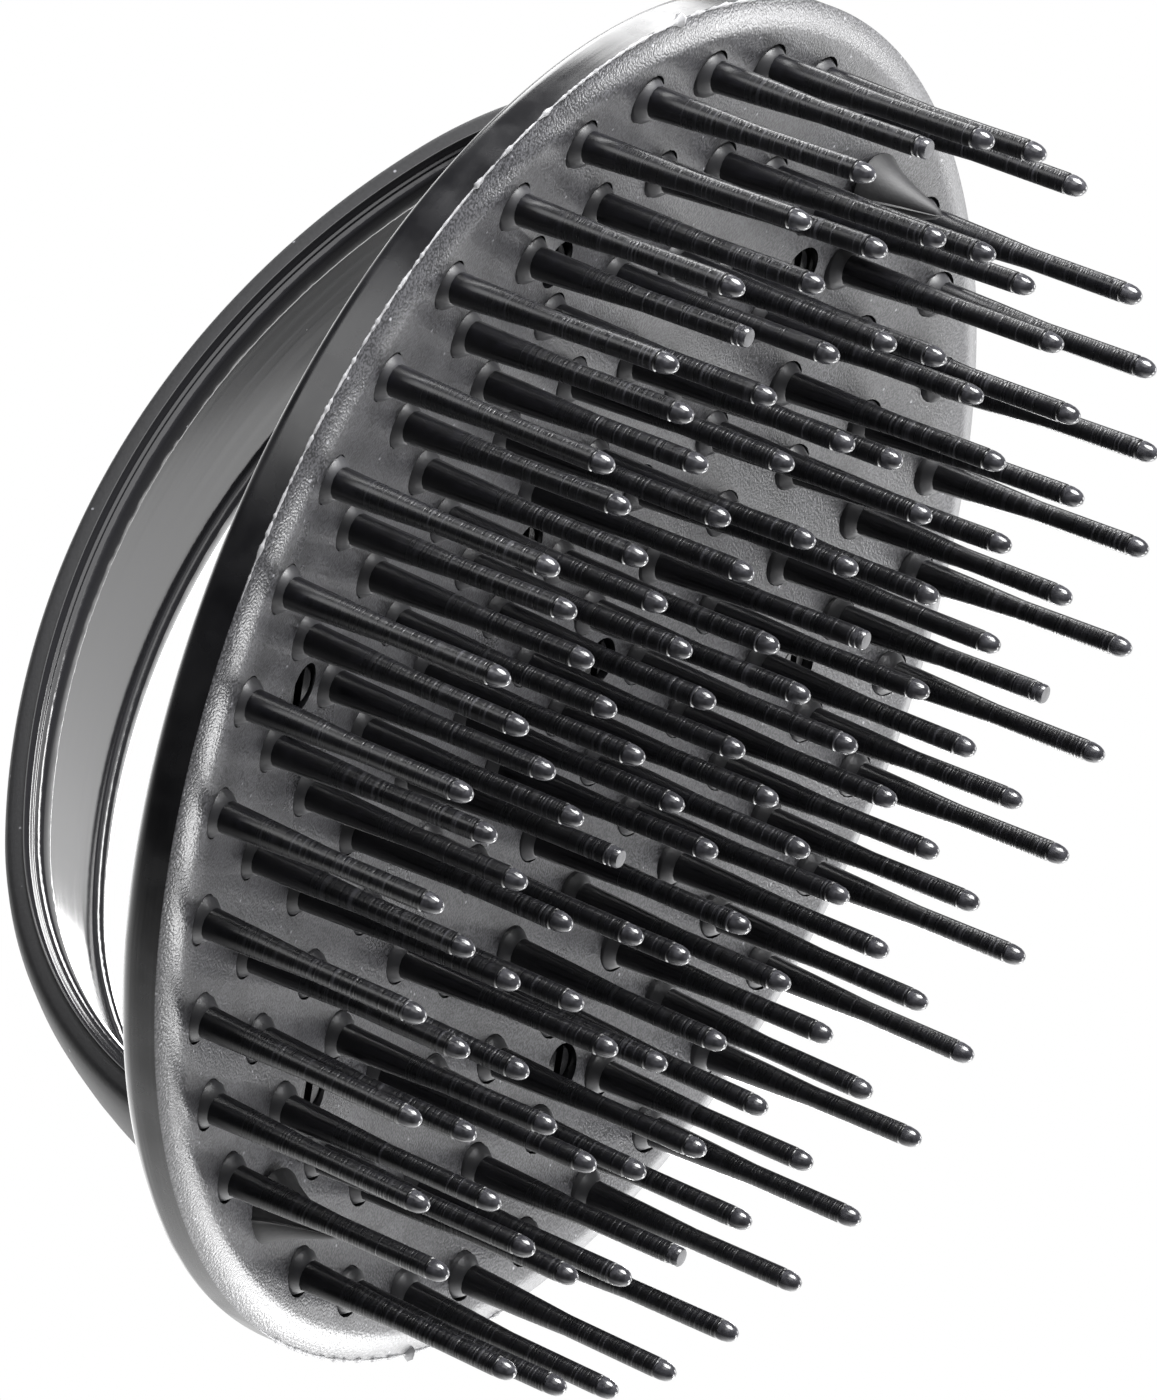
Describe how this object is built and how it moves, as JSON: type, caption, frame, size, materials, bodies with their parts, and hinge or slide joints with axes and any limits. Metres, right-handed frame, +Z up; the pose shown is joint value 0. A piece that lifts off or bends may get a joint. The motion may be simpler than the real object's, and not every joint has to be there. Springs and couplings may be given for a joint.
{
  "type": "shampoo brush",
  "caption": "Round palm-held shampoo brush: a dished plate of slim blunt pins, closed by a domed back cover, under an arched loop handle for the fingers.",
  "frame": {"origin": "on the surface that the tips of the outer pins stand on, under the middle of the plate", "axes": "+Z up through the middle of the plate towards the loop, X along the span of the loop, Y through the loop"},
  "size_m": [0.08, 0.08, 0.0454],
  "materials": {
    "plate_plastic": "moulded black plastic, fine sandy grain on the face and a glossy side wall",
    "cover_plastic": "moulded black plastic, satin",
    "loop_plastic": "moulded black flexible plastic, matt outside, glossy inside and on the beads",
    "pin_plastic": "moulded black plastic, glossy, with fine rings across the shaft"
  },
  "bodies": {
    "root": {"base_plate": "plate_plastic", "back_cover": "cover_plastic", "loop_handle": "loop_plastic", "centre_pin": "pin_plastic", "pins_ring_1": "pin_plastic", "pins_ring_2": "pin_plastic", "pins_ring_3": "pin_plastic", "pins_ring_4": "pin_plastic", "pins_ring_5": "pin_plastic", "pins_ring_6": "pin_plastic"}
  },
  "joints": []
}
